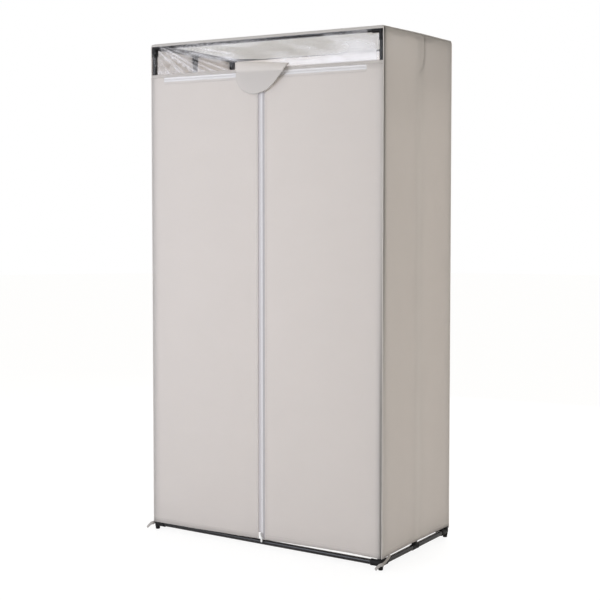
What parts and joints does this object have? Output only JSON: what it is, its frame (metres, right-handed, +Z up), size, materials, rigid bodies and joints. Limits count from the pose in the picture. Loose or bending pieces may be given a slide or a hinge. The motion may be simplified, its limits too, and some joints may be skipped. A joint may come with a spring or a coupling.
{
  "type": "portable fabric wardrobe",
  "caption": "Free-standing wardrobe: a black steel tube frame in moulded corner fittings under a pale zip-front cloth cover, with a hanging rail, a clear strip and a dust flap.",
  "frame": {"origin": "on the floor, in the middle of the wardrobe's footprint", "axes": "+Z up, +X to the right and +Y to the back as seen by someone in front of the doors"},
  "size_m": [0.8957, 0.4756, 1.6],
  "materials": {
    "cloth": "matt embossed non-woven",
    "clear": "clear soft film",
    "tube": "satin black powder coat",
    "fitting": "moulded, matt",
    "zip": "woven tape with a nylon coil",
    "slider": "white enamel",
    "tie": "matt woven tape"
  },
  "bodies": {
    "cover_and_frame": {"bottom_corner_front_left": "fitting", "bottom_corner_front_right": "fitting", "bottom_corner_rear_left": "fitting", "bottom_corner_rear_right": "fitting", "top_corner_front_left": "fitting", "top_corner_front_right": "fitting", "top_corner_rear_left": "fitting", "top_corner_rear_right": "fitting", "post_lower_front_left": "tube", "post_lower_front_right": "tube", "post_lower_rear_left": "tube", "post_lower_rear_right": "tube", "post_upper_front_left": "tube", "post_upper_front_right": "tube", "post_upper_rear_left": "tube", "post_upper_rear_right": "tube", "bottom_rail_front": "tube", "bottom_rail_rear": "tube", "bottom_rail_left": "tube", "bottom_rail_right": "tube", "top_rail_front": "tube", "top_rail_rear": "tube", "top_rail_left": "tube", "top_rail_right": "tube", "bottom_tee_left": "fitting", "bottom_tee_right": "fitting", "top_tee_left": "fitting", "top_tee_right": "fitting", "hanging_tee_left": "fitting", "hanging_tee_right": "fitting", "mid_post_lower_left": "tube", "mid_post_lower_right": "tube", "mid_post_upper_left": "tube", "mid_post_upper_right": "tube", "hanging_rail": "tube", "roof_panel": "cloth", "side_panel_left": "cloth", "side_panel_right": "cloth", "back_panel": "cloth", "front_window": "clear", "header_band": "cloth", "stile_left": "cloth", "stile_right": "cloth", "top_zip_upper": "zip", "tie_tape_left": "tie", "tie_tape_right": "tie"},
    "left_door": {"door_left": "cloth", "centre_zip_left": "zip", "top_zip_lower_left": "zip"},
    "right_door": {"door_right": "cloth", "centre_zip_right": "zip", "top_zip_lower_right": "zip"},
    "flap": {"dust_flap": "cloth"},
    "centre_slider": {"centre_zip_slider": "slider"},
    "centre_pull": {"centre_zip_pull": "slider"},
    "top_left_slider": {"top_zip_left_slider": "slider"},
    "top_left_pull": {"top_zip_left_pull": "slider"},
    "top_right_slider": {"top_zip_right_slider": "slider"},
    "top_right_pull": {"top_zip_right_pull": "slider"}
  },
  "joints": [
    {"name": "left_door_fold", "type": "hinge", "parent": "cover_and_frame", "child": "left_door", "pos_m": [-0.384, -0.225, 0.75], "axis": [0, 0, -1], "range_deg": [0, 150]},
    {"name": "right_door_fold", "type": "hinge", "parent": "cover_and_frame", "child": "right_door", "pos_m": [0.384, -0.225, 0.75], "axis": [0, 0, 1], "range_deg": [0, 150]},
    {"name": "flap_lift", "type": "hinge", "parent": "cover_and_frame", "child": "flap", "pos_m": [0, -0.2266, 1.524], "axis": [-1, 0, 0], "range_deg": [0, 135]},
    {"name": "centre_zip_slide", "type": "slide", "parent": "right_door", "child": "centre_slider", "axis": [0, 0, 1], "range_m": [0, 1.405]},
    {"name": "centre_pull_swing", "type": "hinge", "parent": "centre_slider", "child": "centre_pull", "pos_m": [0.005, -0.22815, 0.046], "axis": [-1, 0, 0], "range_deg": [0, 150]},
    {"name": "top_left_zip_slide", "type": "slide", "parent": "cover_and_frame", "child": "top_left_slider", "axis": [-1, 0, 0], "range_m": [0, 0.356]},
    {"name": "top_left_pull_swing", "type": "hinge", "parent": "top_left_slider", "child": "top_left_pull", "pos_m": [-0.009, -0.22815, 1.481], "axis": [0, 0, 1], "range_deg": [0, 30]},
    {"name": "top_right_zip_slide", "type": "slide", "parent": "cover_and_frame", "child": "top_right_slider", "axis": [1, 0, 0], "range_m": [0, 0.356]},
    {"name": "top_right_pull_swing", "type": "hinge", "parent": "top_right_slider", "child": "top_right_pull", "pos_m": [0.009, -0.22815, 1.481], "axis": [0, 0, -1], "range_deg": [0, 30]}
  ]
}
